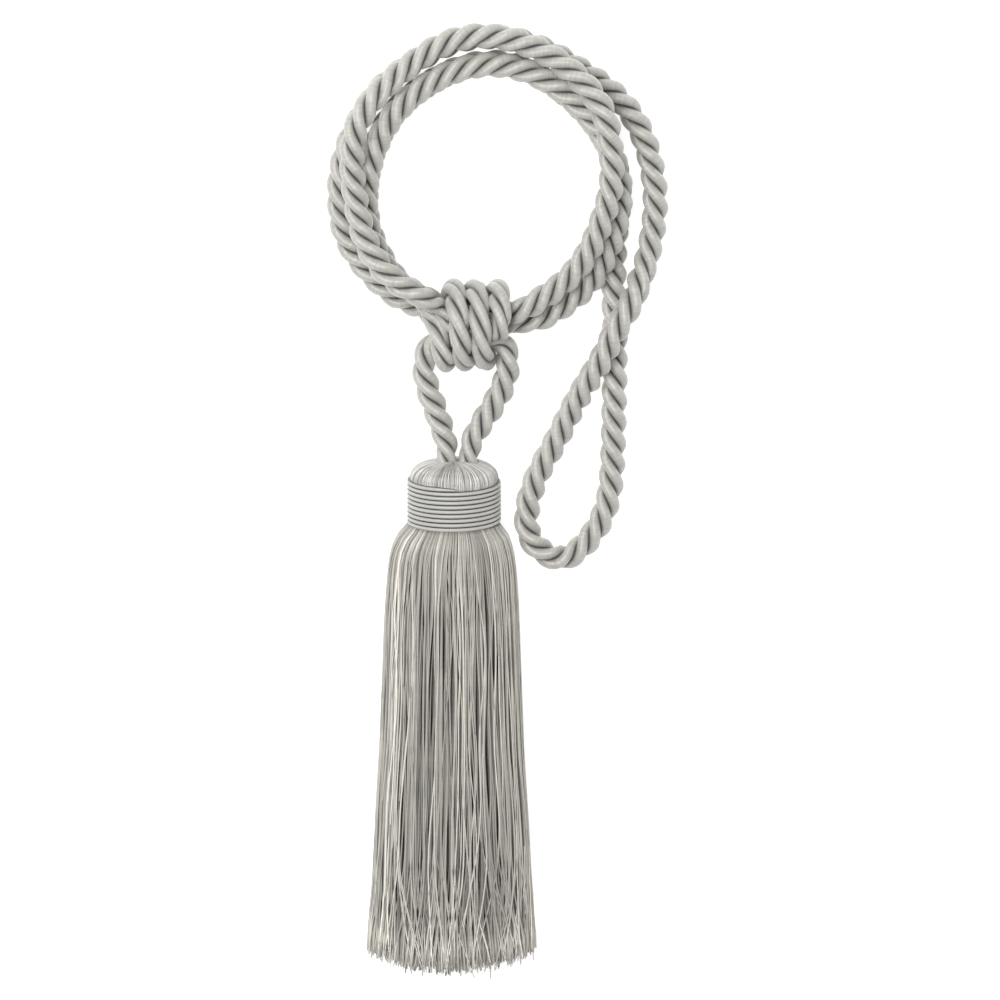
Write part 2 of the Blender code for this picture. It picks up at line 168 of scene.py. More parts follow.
# Back from the knot, below the inner turn all the way over to the right side.
HIDDEN_TURN = [
    (-11.8, 171.6, 11.9, 7.8), (-18.1, 175.0, 13.0, 9.0), (-24.2, 180.7, 12.4, 9.4),
    (-29.3, 188.5, 10.3, 9.8), (-32.6, 195.7, 7.6, 10.0), (-34.3, 212.4, 5.2, 10.0),
    (-30.5, 230.1, 5.2, 10.0), (-22.5, 244.2, 5.2, 10.0), (-9.2, 255.4, 5.2, 10.0),
    (7.1, 262.6, 5.2, 10.0), (24.5, 262.2, 5.2, 10.0), (41.5, 252.6, 5.2, 10.0),
    (53.7, 240.4, 5.2, 10.0), (61.1, 227.8, 5.2, 10.0), (64.5, 213.2, 5.2, 10.0),
    (63.7, 199.4, 5.2, 10.0),
]
# Down the right, round the bend and back up across itself.
LOOSE_LOOP = [
    (62.6, 183.0, 5.2, 10.0), (62.8, 163.5, 5.2, 10.0), (63.0, 139.5, 5.2, 10.0),
    (62.6, 119.0, 5.2, 10.0), (62.0, 100.5, 5.2, 10.0), (59.8, 84.5, 5.2, 10.0),
    (53.7, 72.0, 5.2, 10.0), (41.8, 63.1, 5.2, 10.0), (30.5, 70.5, 5.2, 10.0),
    (28.8, 83.0, 5.2, 10.0), (32.9, 97.2, 5.2, 10.0), (39.4, 109.8, 5.2, 10.0),
    (45.9, 123.2, 6.4, 10.0), (51.8, 135.2, 11.0, 10.0), (57.8, 146.5, 15.0, 10.0),
    (62.2, 156.0, 16.0, 10.0), (66.5, 163.7, 15.9, 10.0), (70.2, 170.7, 14.2, 10.0),
    (72.7, 177.0, 10.6, 10.0), (75.3, 184.0, 6.8, 10.0), (77.4, 193.0, 5.2, 10.0),
    (78.8, 206.7, 5.2, 10.0), (77.2, 222.5, 5.2, 10.0), (72.2, 237.9, 5.2, 10.0),
    (63.1, 250.3, 5.2, 10.0),
]
# Over the top below the front turn and down the ring's outer left side.
OUTER_TURN = [
    (49.6, 260.4, 5.2, 10.0), (35.1, 268.9, 5.2, 10.0), (17.9, 273.8, 5.2, 10.0),
    (0.9, 272.2, 5.2, 10.0), (-15.5, 263.7, 5.2, 10.0), (-29.2, 252.4, 5.2, 10.0),
    (-38.4, 237.6, 5.2, 10.0), (-43.7, 222.0, 5.2, 10.0), (-44.7, 208.3, 5.2, 10.0),
    (-42.4, 193.9, 5.2, 10.0), (-37.3, 184.3, 5.2, 10.0), (-30.4, 176.0, 5.2, 10.0),
    (-21.6, 168.9, 5.2, 10.0), (-13.3, 164.8, 6.4, 9.2),
]
# The whole ring once more, on top of the other lengths.
FRONT_TURN = [
    (24.3, 166.6, 19.8, 9.2), (32.0, 171.0, 21.0, 10.0), (42.3, 178.7, 21.8, 10.0),
    (51.7, 190.5, 23.4, 10.0), (58.0, 205.7, 25.8, 10.0), (61.3, 219.0, 26.4, 10.0),
    (61.3, 234.3, 26.4, 10.0), (58.4, 248.7, 25.6, 10.0), (50.7, 259.4, 22.0, 10.0),
    (39.7, 268.1, 18.1, 10.0), (27.6, 273.9, 16.0, 10.0), (14.9, 276.9, 15.8, 10.0),
    (0.0, 275.4, 16.0, 10.0), (-15.7, 266.8, 17.2, 10.0), (-25.5, 259.2, 20.8, 10.0),
    (-33.7, 250.9, 24.8, 10.0), (-38.8, 239.1, 26.0, 10.0), (-39.4, 222.8, 26.0, 10.0),
    (-37.0, 206.4, 26.8, 10.0), (-34.1, 196.8, 28.6, 10.0), (-30.2, 189.9, 30.6, 10.0),
    (-24.7, 183.8, 31.8, 9.8), (-17.6, 178.7, 31.8, 9.4), (-11.8, 175.2, 30.6, 8.6),
]
# Out of the knot and down into the head.
RIGHT_LEG = [
    (20.9, 149.5, 18.0, 8.4), (20.9, 142.3, 17.6, 9.6), (18.3, 134.0, 17.2, 10.0), (12.0, 122.8, 17.3, 9.9),
    (7.2, 114.1, 17.6, 9.0), (6.1, 109.0, 17.7, 8.2), (5.9, 105.6, 17.8, 7.6),
]
# Short stretches beside the knot: x, y and z from the knot's centre, and thickness.
LEG_TO_CORE = [(-17.9, -8.8, -3.2, 7.6), (-13.9, -6.4, -1.6, 6.8)]
CORE_TO_OUTER_RIGHT = [(11.3, -1.6, -6.2, 7.6)]
INNER_TURN_TO_WRAPS = [(-18.6, 6.5, 1.8, 6.5), (-16.0, 1.2, 2.9, 6.2), (-14.4, -4.1, 6.9, 6.9)]
WRAPS_TO_CORE = [(10.0, 5.6, 12.2, 7.2), (9.9, 1.8, 11.3, 6.6), (9.0, -1.0, 9.0, 6.0), (7.2, -0.4, 6.9, 5.8)]
CORE_TO_HIDDEN_TURN = [(-14.9, 7.4, -4.4, 6.4)]
OUTER_TURN_TO_CORE = [(-17.7, 1.6, -8.8, 7.6), (-13.3, -0.8, -6.3, 6.8)]
CORE_TO_FRONT_TURN = [(11.5, 5.4, -0.6, 7.4)]
FRONT_TURN_TO_CORE = [(-17.2, 12.0, 9.8, 7.3), (-14.8, 9.5, 6.7, 6.0), (-12.2, 6.0, 5.3, 5.9)]
CORE_TO_RIGHT_LEG = [(10.5, -7.0, 0.5, 7.4)]
# Degrees round the core, at its left end.
FRONT_SLOT, TOP_SLOT, BACK_SLOT, LOW_SLOT = 22.0, 106.0, 192.0, 281.0


def beside_knot(points):
    """Points given from the knot's centre, as points of the whole route."""
    return [(x + KNOT[0], y + KNOT[1], z + KNOT[2], thick) for x, y, z, thick in points]


def core_points(slot, last_x=CORE_RIGHT):
    """One squeezed length inside the knot: a circle's point that turns by a quarter from left to right."""
    x = np.linspace(CORE_LEFT, last_x, CORE_POINTS)
    turned = np.radians(slot - CORE_TWIST * (x - CORE_LEFT) / (CORE_RIGHT - CORE_LEFT))
    across, up = CORE_RADIUS * np.sin(turned), CORE_RADIUS * np.cos(turned)
    return beside_knot(zip(x, across, up, np.full(CORE_POINTS, CORE_THICK)))


def wrap_points():
    """The binding turns: a helix about X through the knot's centre, its turns closer together underneath."""
    angle = np.radians(np.arange(WRAP_START, WRAP_END + 1.0, WRAP_STEP))
    low = (1.0 - np.cos(angle)) / 2.0
    x = WRAP_PITCH * (angle / (2.0 * np.pi) - 1.0) * (1.0 - WRAP_LOW_SQUEEZE * low)
    y, z = WRAP_RADIUS * np.cos(angle), WRAP_RADIUS * np.sin(angle)
    return beside_knot(zip(x, y, z, WRAP_THICK * (1.0 - WRAP_LOW_THINNING * low)))


def cord_route():
    """The whole cord, in the order in which a hand would follow it."""
    return [
        *LEFT_LEG, *beside_knot(LEG_TO_CORE),
        *core_points(LOW_SLOT), *beside_knot(CORE_TO_OUTER_RIGHT),
        *OUTER_RIGHT, *INNER_TURN, *beside_knot(INNER_TURN_TO_WRAPS),
        *wrap_points(), *beside_knot(WRAPS_TO_CORE),
        *core_points(TOP_SLOT, last_x=4.0)[::-1], *beside_knot(CORE_TO_HIDDEN_TURN),
        *HIDDEN_TURN, *LOOSE_LOOP, *OUTER_TURN, *beside_knot(OUTER_TURN_TO_CORE),
        *core_points(BACK_SLOT), *beside_knot(CORE_TO_FRONT_TURN),
        *FRONT_TURN, *beside_knot(FRONT_TURN_TO_CORE),
        *core_points(FRONT_SLOT), *beside_knot(CORE_TO_RIGHT_LEG),
        *RIGHT_LEG,
    ]


def smooth_curve(points, samples=24000, power=0.75):
    """A natural cubic spline through the points; the thickness goes straight from one point to the next.

    Its bends solve one row of equations a point, with spans of the chord's length to the given power.
    """
    given = np.array(points, float)
    spans = np.linalg.norm(np.diff(given[:, :3], axis=0), axis=1) ** power
    knots = np.concatenate([[0.0], np.cumsum(spans)])
    count = len(given)
    inner = np.arange(1, count - 1)
    system = np.eye(count)
    system[inner, inner - 1] = spans[:-1]
    system[inner, inner] = 2.0 * (spans[:-1] + spans[1:])
    system[inner, inner + 1] = spans[1:]
    right = np.zeros((count, given.shape[1]))
    slopes = np.diff(given, axis=0) / spans[:, None]
    right[inner] = 6.0 * np.diff(slopes, axis=0)
    bends = np.linalg.solve(system, right)
    at = np.linspace(0.0, knots[-1], samples)
    i = np.clip(np.searchsorted(knots, at) - 1, 0, count - 2)
    span = spans[i][:, None]
    before = (knots[i + 1] - at)[:, None] / span
    after = 1.0 - before
    curve = before * given[i] + after * given[i + 1]
    pull = (before ** 3 - before) * bends[i] + (after ** 3 - after) * bends[i + 1]
    curve[:, :3] += (pull * span ** 2 / 6.0)[:, :3]
    return curve


def evenly(curve, step):
    """The curve's points again, a fixed step apart along it, and how far along each one is."""
    steps = np.linalg.norm(np.diff(curve[:, :3], axis=0), axis=1)
    along = np.concatenate([[0.0], np.cumsum(steps)])
    at = np.linspace(0.0, along[-1], int(round(along[-1] / step)) + 1)
    return np.stack([np.interp(at, along, column) for column in curve.T], axis=1), at


def steady_frames(line, steep=0.8):
    """Two directions square to a line at each point, which don't turn about the line on their way.

    Each pair starts from the world's Z, or from its X where the line is steep. Carrying a pair to the next
    point with the least turn shows by what angle the next pair is off. The sum of those angles undoes it.
    """
    heading = np.gradient(line, axis=0)
    heading /= np.linalg.norm(heading, axis=1)[:, None]
    guide = np.where(np.abs(heading[:, 2:3]) > steep, [1.0, 0.0, 0.0], [0.0, 0.0, 1.0])
    side = guide - (guide * heading).sum(1)[:, None] * heading
    side /= np.linalg.norm(side, axis=1)[:, None]
    other = np.cross(heading, side)
    here, there = heading[:-1], heading[1:]
    turn = (there * side[:-1]).sum(1) / (1.0 + (here * there).sum(1))
    carried = side[:-1] - turn[:, None] * (here + there)
    off = np.arctan2((carried * other[1:]).sum(1), (carried * side[1:]).sum(1))
    total = np.concatenate([[0.0], np.cumsum(off)])[:, None]
    return side * np.cos(total) + other * np.sin(total), other * np.cos(total) - side * np.sin(total)


def skin(name, rings, material, **attributes):
    """One mesh from an array of tubes x rings x points round x 3, in millimetres.

    Each tube's rings are joined by quads, and a fan about a middle point closes each end. Its UV map holds
    the metres along the tube and the turns round it. Attributes are numbers a point, shaped like the rings.
    """
    tubes, rows, around = rings.shape[:3]
    ends = rings[:, [0, -1]].mean(axis=2)
    points = np.concatenate([rings.reshape(-1, 3), ends.reshape(-1, 3)]) * MM
    tube, row, col = np.meshgrid(np.arange(tubes), np.arange(rows - 1), np.arange(around), indexing="ij")
    first = (tube * rows + row) * around
    after = (col + 1) % around
    quads = np.stack([first + col, first + after, first + around + after, first + around + col], axis=-1)
    tube, col = np.meshgrid(np.arange(tubes), np.arange(around), indexing="ij")
    after = (col + 1) % around
    bottom = tube * rows * around
    top = bottom + (rows - 1) * around
    middle = tubes * rows * around + 2 * tube
    fans = np.stack([
        np.stack([bottom + after, bottom + col, middle], axis=-1),
        np.stack([top + col, top + after, middle + 1], axis=-1),
    ])
    corners = np.concatenate([quads.reshape(-1), fans.reshape(-1)])
    sizes = np.concatenate([np.full(quads.size // 4, 4), np.full(fans.size // 3, 3)])
    mesh = bpy.data.meshes.new(name)
    mesh.vertices.add(len(points))
    mesh.vertices.foreach_set("co", points.ravel())
    mesh.loops.add(len(corners))
    mesh.loops.foreach_set("vertex_index", corners.astype(np.int32))
    mesh.polygons.add(len(sizes))
    mesh.polygons.foreach_set("loop_start", np.concatenate([[0], np.cumsum(sizes)[:-1]]).astype(np.int32))
    steps = np.linalg.norm(np.diff(rings.mean(axis=2), axis=1), axis=2) * MM
    along = np.concatenate([np.zeros((tubes, 1)), np.cumsum(steps, axis=1)], axis=1)
    near, far = along[:, :-1, None], along[:, 1:, None]
    columns = np.arange(around)[None, None, :]
    u = np.stack(np.broadcast_arrays(near, near, far, far, columns)[:4], axis=-1)
    v = np.stack(np.broadcast_arrays(columns, columns + 1, columns + 1, columns, near)[:4], axis=-1) / around
    flat_u = np.concatenate([u.ravel(), np.zeros(fans.size)])
    flat_v = np.concatenate([v.ravel(), np.zeros(fans.size)])
    layer = mesh.uv_layers.new(name="UVMap")
    layer.data.foreach_set("uv", np.stack([flat_u, flat_v], axis=1).ravel().astype(np.float32))
    for label, values in attributes.items():
        values = np.broadcast_to(values, rings.shape[:3])
        stored = np.concatenate([values.reshape(-1), values[:, [0, -1]].mean(axis=2).reshape(-1)])
        mesh.attributes.new(label, "FLOAT", "POINT").data.foreach_set("value", stored.astype(np.float32))
    mesh.update(calc_edges=True)
    mesh.validate()
    mesh.shade_smooth()
    mesh.materials.append(material)
    made = bpy.data.objects.new(name, mesh)
    bpy.context.collection.objects.link(made)
    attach(made, "root")
    return made


def new_group(name, inputs, outputs):
    """An empty shader node group with named inputs and outputs."""
    group = bpy.data.node_groups.new(name, "ShaderNodeTree")
    for label, kind, value in inputs:
        socket = group.interface.new_socket(label, in_out="INPUT", socket_type=kind)
        socket.default_value = value
    for label, kind in outputs:
        group.interface.new_socket(label, in_out="OUTPUT", socket_type=kind)
    return group, group.nodes.new("NodeGroupInput"), group.nodes.new("NodeGroupOutput")


def worked_out(nodes, links, operation, *values):
    """A Math node on sockets or plain numbers, and its output."""
    node = nodes.new("ShaderNodeMath")
    node.operation = operation
    for socket, value in zip(node.inputs, values):
        if isinstance(value, (int, float)):
            socket.default_value = value
        else:
            links.new(value, socket)
    return node.outputs[0]


def furrow_group():
    """Colour of yarn: its tone on the crests, and painted shade, darker and warmer, in the furrows between.
    """
    group, given, result = new_group("furrow_shade", [
        ("Crest", "NodeSocketColor", (0.5, 0.5, 0.5, 1.0)),
        ("Furrow", "NodeSocketColor", (0.1, 0.1, 0.1, 1.0)),
        ("Depth", "NodeSocketFloat", 0.0),
        ("Tone", "NodeSocketFloat", 0.5),
        ("Spread", "NodeSocketFloat", 0.2),
        ("Streak", "NodeSocketFloat", 0.5),
        ("Streak Spread", "NodeSocketFloat", 0.5),
    ], [("Color", "NodeSocketColor")])
    nodes, links = group.nodes, group.links
    mixed = nodes.new("ShaderNodeMix")
    mixed.data_type = "RGBA"
    links.new(given.outputs["Depth"], mixed.inputs["Factor"])
    links.new(given.outputs["Crest"], mixed.inputs["A"])
    links.new(given.outputs["Furrow"], mixed.inputs["B"])
    centred = worked_out(nodes, links, "SUBTRACT", given.outputs["Tone"], 0.5)
    by_yarn = worked_out(nodes, links, "MULTIPLY_ADD", centred, given.outputs["Spread"], 1.0)
    streak = worked_out(nodes, links, "SUBTRACT", given.outputs["Streak"], 0.5)
    by_streak = worked_out(nodes, links, "MULTIPLY_ADD", streak, given.outputs["Streak Spread"], 1.0)
    gain = worked_out(nodes, links, "MULTIPLY", by_yarn, by_streak)
    scaled = nodes.new("ShaderNodeVectorMath")
    scaled.operation = "SCALE"
    links.new(mixed.outputs["Result"], scaled.inputs[0])
    links.new(gain, scaled.inputs["Scale"])
    links.new(scaled.outputs[0], result.inputs["Color"])
    return group


def thread_group():
    """Fine threads wound round a strand: a wave of the turns round it and the distance along it."""
    group, given, result = new_group("wound_threads", [
        ("Along", "NodeSocketFloat", 0.0),
        ("Round", "NodeSocketFloat", 0.0),
        ("Threads", "NodeSocketFloat", 3000.0),
        ("Slant", "NodeSocketFloat", 4.0),
        ("Unevenness", "NodeSocketFloat", 0.3),
        ("Streak Length", "NodeSocketFloat", 4.0),
    ], [("Height", "NodeSocketFloat"), ("Streak", "NodeSocketFloat")])
    nodes, links = group.nodes, group.links
    rows = worked_out(nodes, links, "MULTIPLY", given.outputs["Along"], given.outputs["Threads"])
    lean = worked_out(nodes, links, "MULTIPLY", given.outputs["Round"], given.outputs["Slant"])
    phase = worked_out(nodes, links, "ADD", rows, lean)
    angle = worked_out(nodes, links, "MULTIPLY", phase, 2.0 * math.pi)
    wave = worked_out(nodes, links, "SINE", angle)
    place = nodes.new("ShaderNodeCombineXYZ")
    links.new(phase, place.inputs["X"])
    links.new(given.outputs["Round"], place.inputs["Y"])
    noise = nodes.new("ShaderNodeTexNoise")
    noise.inputs["Scale"].default_value = 0.9
    links.new(place.outputs[0], noise.inputs["Vector"])
    rough = worked_out(nodes, links, "MULTIPLY", noise.outputs["Fac"], given.outputs["Unevenness"])
    height = worked_out(nodes, links, "MULTIPLY_ADD", wave, THREAD_HEIGHT, rough)
    streak_place = nodes.new("ShaderNodeCombineXYZ")
    drawn_out = worked_out(nodes, links, "DIVIDE", phase, STREAK_THREADS)
    links.new(drawn_out, streak_place.inputs["X"])
    across = worked_out(nodes, links, "MULTIPLY", given.outputs["Round"], given.outputs["Streak Length"])
    links.new(across, streak_place.inputs["Y"])
    streaks = nodes.new("ShaderNodeTexNoise")
    streaks.inputs["Scale"].default_value = 1.0
    streaks.inputs["Detail"].default_value = 3.0
    links.new(streak_place.outputs[0], streaks.inputs["Vector"])
    raised = worked_out(nodes, links, "MULTIPLY_ADD", streaks.outputs["Fac"], STREAK_HEIGHT, height)
    links.new(raised, result.inputs["Height"])
    links.new(streaks.outputs["Fac"], result.inputs["Streak"])
    return group


FURROW_SHADE = furrow_group()
WOUND_THREADS = thread_group()


def yarn_material(name, crest, furrow, spread, roughness, threads, slant, bump, streaks, shine=0.5):
    """Satin yarn: a furrow's painted shade by the mesh's depth, with its tone, and its threads by the mesh's
    UV map.

    Threads are turns of fine thread a metre, and slant is by how many of them a turn leans over a whole
    way round. Spread and streaks say how far yarns, and places along them, differ in brightness.
    """
    made = bpy.data.materials.new(name)
    made.use_nodes = True
    nodes, links = made.node_tree.nodes, made.node_tree.links
    shader = nodes["Principled BSDF"]
    shader.inputs["Roughness"].default_value = roughness
    shader.inputs["Sheen Weight"].default_value = SATIN_SHEEN
    shader.inputs["Sheen Roughness"].default_value = SHEEN_ROUGHNESS
    shader.inputs["Specular IOR Level"].default_value = shine
    shade = nodes.new("ShaderNodeGroup")
    shade.node_tree = FURROW_SHADE
    shade.inputs["Crest"].default_value = (*crest, 1.0)
    shade.inputs["Furrow"].default_value = (*furrow, 1.0)
    shade.inputs["Spread"].default_value = spread
    for label in ("Depth", "Tone"):
        read = nodes.new("ShaderNodeAttribute")
        read.attribute_name = label.lower()
        links.new(read.outputs["Fac"], shade.inputs[label])
    links.new(shade.outputs["Color"], shader.inputs["Base Color"])
    place = nodes.new("ShaderNodeUVMap")
    place.uv_map = "UVMap"
    parts = nodes.new("ShaderNodeSeparateXYZ")
    links.new(place.outputs["UV"], parts.inputs[0])
    wound = nodes.new("ShaderNodeGroup")
    wound.node_tree = WOUND_THREADS
    links.new(parts.outputs["X"], wound.inputs["Along"])
    links.new(parts.outputs["Y"], wound.inputs["Round"])
    wound.inputs["Threads"].default_value = threads
    wound.inputs["Slant"].default_value = slant
    links.new(wound.outputs["Streak"], shade.inputs["Streak"])
    shade.inputs["Streak Spread"].default_value = streaks
    raised = nodes.new("ShaderNodeBump")
    raised.inputs["Strength"].default_value = 1.0
    raised.inputs["Distance"].default_value = bump * MM
    links.new(wound.outputs["Height"], raised.inputs["Height"])
    links.new(raised.outputs["Normal"], shader.inputs["Normal"])
    return made


def strand_profile(strands, points, offset, radius):
    """The outline of equal round strands laid about a middle, and how deep in a furrow each point is.

    Each strand gives an arc of its own circle, from the furrow on its one side to that on its other, with
    its points closer together near the furrows.
    """
    half = np.pi / strands
    reach = offset * np.cos(half) + np.sqrt(radius ** 2 - (offset * np.sin(half)) ** 2)
    widest = np.arctan2(reach * np.sin(half), reach * np.cos(half) - offset)
    across = np.linspace(-1.0, 1.0, points, endpoint=False)
    own = widest * np.sign(across) * (1.0 - (1.0 - np.abs(across)) ** POINTS_TO_FURROWS)
    x, y = offset + radius * np.cos(own), radius * np.sin(own)
    out, turned = np.hypot(x, y), np.arctan2(y, x)
    strand = np.arange(strands)[:, None] * 2.0 * half
    return np.tile(out, strands), (turned + strand).ravel(), np.tile(np.abs(own) / widest, strands)


def twisted_rope(line, thick, twist, profile):
    """Rings of a left-twisted rope: its profile square to the line, turned back by each ring's twist."""
    out, turned, _ = profile
    side, other = steady_frames(line)
    angle = turned[None, :] - twist[:, None]
    size = out[None, :] * thick[:, None] / 2.0
    across = (size * np.cos(angle))[:, :, None] * side[:, None, :]
    return line[:, None, :] + across + (size * np.sin(angle))[:, :, None] * other[:, None, :]


def into_head(point, towards):
    """The cord's end moved on along its own direction, so that the head's yarn closes round it."""
    point, towards = np.array(point), np.array(towards)
    heading = (point - towards)[:3] / np.linalg.norm((point - towards)[:3])
    return (*(point[:3] + ENDS_IN_HEAD * heading), point[3])


route = cord_route()
route = [into_head(route[0], route[1]), *route, into_head(route[-1], route[-2])]
cord_line, cord_along = evenly(smooth_curve(route), CORD_STEP)
from_knot = np.linalg.norm(cord_line[:, :3] - KNOT, axis=1)
from_axis = np.hypot(*(cord_line[:, 1:3] - KNOT[1:]).T)
in_wraps = 1.0 / (1.0 + np.exp((from_knot - WRAPS_REACH) / FADE))
on_wraps = in_wraps * np.clip((from_axis - WRAPS_START) / WRAPS_WIDTH, 0.0, 1.0)
near_knot = 1.0 / (1.0 + np.exp((from_knot - KNOT_REACH) / FADE))
squeezed = np.clip((SQUEEZE_START - cord_line[:, 3]) / SQUEEZE_WIDTH, 0.0, 1.0)
squeezed = squeezed * near_knot * (1.0 - on_wraps)
fullness = CORD_FULLNESS + SQUEEZE_SWELL * squeezed + (WRAP_FULLNESS - CORD_FULLNESS) * on_wraps
cord_thick = cord_line[:, 3] * fullness
twist_rate = 2.0 * np.pi * ((1.0 - in_wraps) / LAY + in_wraps / LAY_IN_WRAPS)
cord_twist = np.cumsum(twist_rate) * CORD_STEP
cord_profile = strand_profile(STRANDS, POINTS_PER_STRAND, STRAND_OFFSET, STRAND_RADIUS)
cord_rings = twisted_rope(cord_line[:, :3], cord_thick, cord_twist, cord_profile)
# Painted shade: the strands' flanks darker, the furrows darkest, less so where they face the cord's sides.
cord_outward = cord_rings - cord_line[:, None, :3]
cord_facing = np.abs(cord_outward[:, :, 2]) / np.linalg.norm(cord_outward, axis=2)
off_side = np.clip((cord_facing - SIDE_END) / SIDE_WIDTH, 0.0, 1.0)
furrow_shade_kept = FURROW_LEAST + (1.0 - FURROW_LEAST) * off_side
cord_flank = cord_profile[2]
cord_furrow_shade = np.clip((cord_flank - FURROW_START) / FURROW_WIDTH, 0.0, 1.0)
cord_painted_shade = FLANK_SHADE * cord_flank ** 2 + (1.0 - FLANK_SHADE) * cord_furrow_shade * furrow_shade_kept
satin = yarn_material("satin_cord", crest=(0.508, 0.497, 0.455), furrow=(0.005, 0.004, 0.003),
                      spread=0.25, roughness=0.34, threads=3600.0, slant=-44.0, bump=0.09, streaks=0.6,
                      shine=1.0)
cord = skin("rope", cord_rings[None], satin, depth=cord_painted_shade[None], tone=0.5)
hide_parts("cord")

# ---------------------------------------------------------------------------------------------------
# The head's dome: the tassel's yarn where it is folded over the cord's ends and drawn down evenly all
# round, so that each yarn runs from beside the cord, over the shoulder, and in under the collar.
# ---------------------------------------------------------------------------------------------------
AXIS_HEIGHT = 17.6
HEAD_FLATNESS = 0.90                           # the head is pressed a little flat, too
DOME_FOOT_Y = 98.4
DOME_RISE = 7.6
DOME_ROUNDNESS = 2.6                           # 2 is an ellipse; more has a fuller shoulder
DOME_TOP_RADIUS = 0.8
DOME_RADIUS = 17.25
DOME_UNDER_COLLAR = 4.0                        # how far the yarn goes on below the collar's edge,
DOME_DRAWN_IN = 0.9                            # and how far it is drawn in there
DOME_ROWS, UNDER_ROWS = 26, 3
DOME_YARNS = 330
POINTS_PER_YARN = 4
DOME_YARN_HEIGHT = 0.36
DOME_YARN_ROUNDNESS = 0.7
DOME_YARN_LIFT = 0.096                         # how unevenly the yarns stand out,
DOME_YARN_SWAY = 0.020                         # and how far they bow to the side, in radians
DOME_LEAST_RADIUS = 0.2
DOME_SEED = 7


def dome_profile():
    """Radius and y: a superellipse from the top's middle to the foot, then straight on under the collar."""
    across = np.linspace(0.0, 1.0, DOME_ROWS)
    angle = (1.0 - across) * np.pi / 2.0
    radius = DOME_TOP_RADIUS + (DOME_RADIUS - DOME_TOP_RADIUS) * np.cos(angle) ** (2.0 / DOME_ROUNDNESS)
    y = DOME_FOOT_Y + DOME_RISE * np.sin(angle) ** (2.0 / DOME_ROUNDNESS)
    under = np.arange(1, UNDER_ROWS + 1) / UNDER_ROWS
    return (np.concatenate([radius, DOME_RADIUS - DOME_DRAWN_IN * under]),
            np.concatenate([y, DOME_FOOT_Y - DOME_UNDER_COLLAR * under]))


chance = np.random.default_rng(DOME_SEED)
dome_radius, dome_y = dome_profile()
rows, around = len(dome_radius), DOME_YARNS * POINTS_PER_YARN
yarn = np.arange(around) // POINTS_PER_YARN
within = (np.arange(around) % POINTS_PER_YARN) / POINTS_PER_YARN
crest = np.abs(np.sin(np.pi * within)) ** DOME_YARN_ROUNDNESS
sunk = DOME_YARN_HEIGHT * (1.0 - crest)[None, :]
yarn_lift = chance.normal(0.0, DOME_YARN_LIFT, DOME_YARNS)
yarn_tone = chance.uniform(0.0, 1.0, DOME_YARNS)
sway = chance.normal(0.0, DOME_YARN_SWAY, DOME_YARNS)
down = np.linspace(0.0, 1.0, rows)[:, None]
angle = 2.0 * np.pi * np.arange(around)[None, :] / around + sway[yarn][None, :] * np.sin(np.pi * down)
radius = np.maximum(dome_radius[:, None] - sunk + yarn_lift[yarn][None, :], DOME_LEAST_RADIUS)
dome_rings = np.stack([
    radius * np.cos(angle),
    dome_y[:, None] - sunk * (1.0 - down),
    AXIS_HEIGHT + HEAD_FLATNESS * radius * np.sin(angle),
], axis=-1)
# The dome's crest is lighter than the skirt yarn's: painted light, as the head faces up to the light.
dome_satin = yarn_material("dome_yarn", crest=(0.64, 0.632, 0.60), furrow=(0.06, 0.057, 0.05),
                           spread=0.80, roughness=0.42, threads=900.0, slant=3.0, bump=0.04, streaks=0.7)
# Painted shade: the dome is darker between its yarns, where each yarn's crest falls away.
dome = skin("dome", dome_rings[None, ::-1], dome_satin, depth=((1.0 - crest) ** 2.0)[None, None, :],
            tone=yarn_tone[yarn][None, None, :])

# ---------------------------------------------------------------------------------------------------
# The collar: a thin gimp, fine thread wound over a core, laid nine and a half times round the neck, side
# by side. Its first end is tucked in over the second turn at the front, its last one away at the back.
# ---------------------------------------------------------------------------------------------------
GIMP_TURNS = 9.45
GIMP_RADIUS = 0.90
COLLAR_TOP_Y = 98.3
GIMP_PITCH = 1.81
GIMP_WOUND_RADIUS = 17.55
GIMP_STEP_DEGREES = 2.5
GIMP_SIDES = 16
GIMP_TUCK = 26.0                               # degrees over which each end is tucked in,
GIMP_SLIP = 0.5                                # how far in, and down, it slips on that way,
GIMP_END_THICK, GIMP_TAPER = 0.40, 0.7         # what share of its thickness is left, and how bluntly
GIMP_START = 0.06                              # the first end's angle past the front, in radians
# Painted shade on the gimp: darker where its surface faces in, between its turns.
GIMP_SHADE_START, GIMP_SHADE_WIDTH = 0.85, 0.38   # the outward share of where a point faces; less is darker

turned = np.radians(np.arange(0.0, 360.0 * GIMP_TURNS + 1.0, GIMP_STEP_DEGREES))
gimp_angle = np.pi / 2.0 + turned - GIMP_START
tuck = np.clip(np.degrees(np.minimum(turned, turned[-1] - turned)) / GIMP_TUCK, 0.0, 1.0)
slip = GIMP_SLIP * (1.0 - tuck) ** 2
gimp_radius = GIMP_WOUND_RADIUS - slip
gimp_line = np.stack([
    gimp_radius * np.cos(gimp_angle),
    COLLAR_TOP_Y - GIMP_PITCH * turned / (2.0 * np.pi) - slip,
    AXIS_HEIGHT + HEAD_FLATNESS * gimp_radius * np.sin(gimp_angle),
], axis=1)
gimp_half = GIMP_RADIUS * (GIMP_END_THICK + (1.0 - GIMP_END_THICK) * tuck ** GIMP_TAPER)
side, other = steady_frames(gimp_line)
round_gimp = 2.0 * np.pi * np.arange(GIMP_SIDES) / GIMP_SIDES
gimp_ring = np.cos(round_gimp)[:, None] * side[:, None, :] + np.sin(round_gimp)[:, None] * other[:, None, :]
gimp_rings = gimp_line[:, None, :] + gimp_half[:, None, None] * gimp_ring
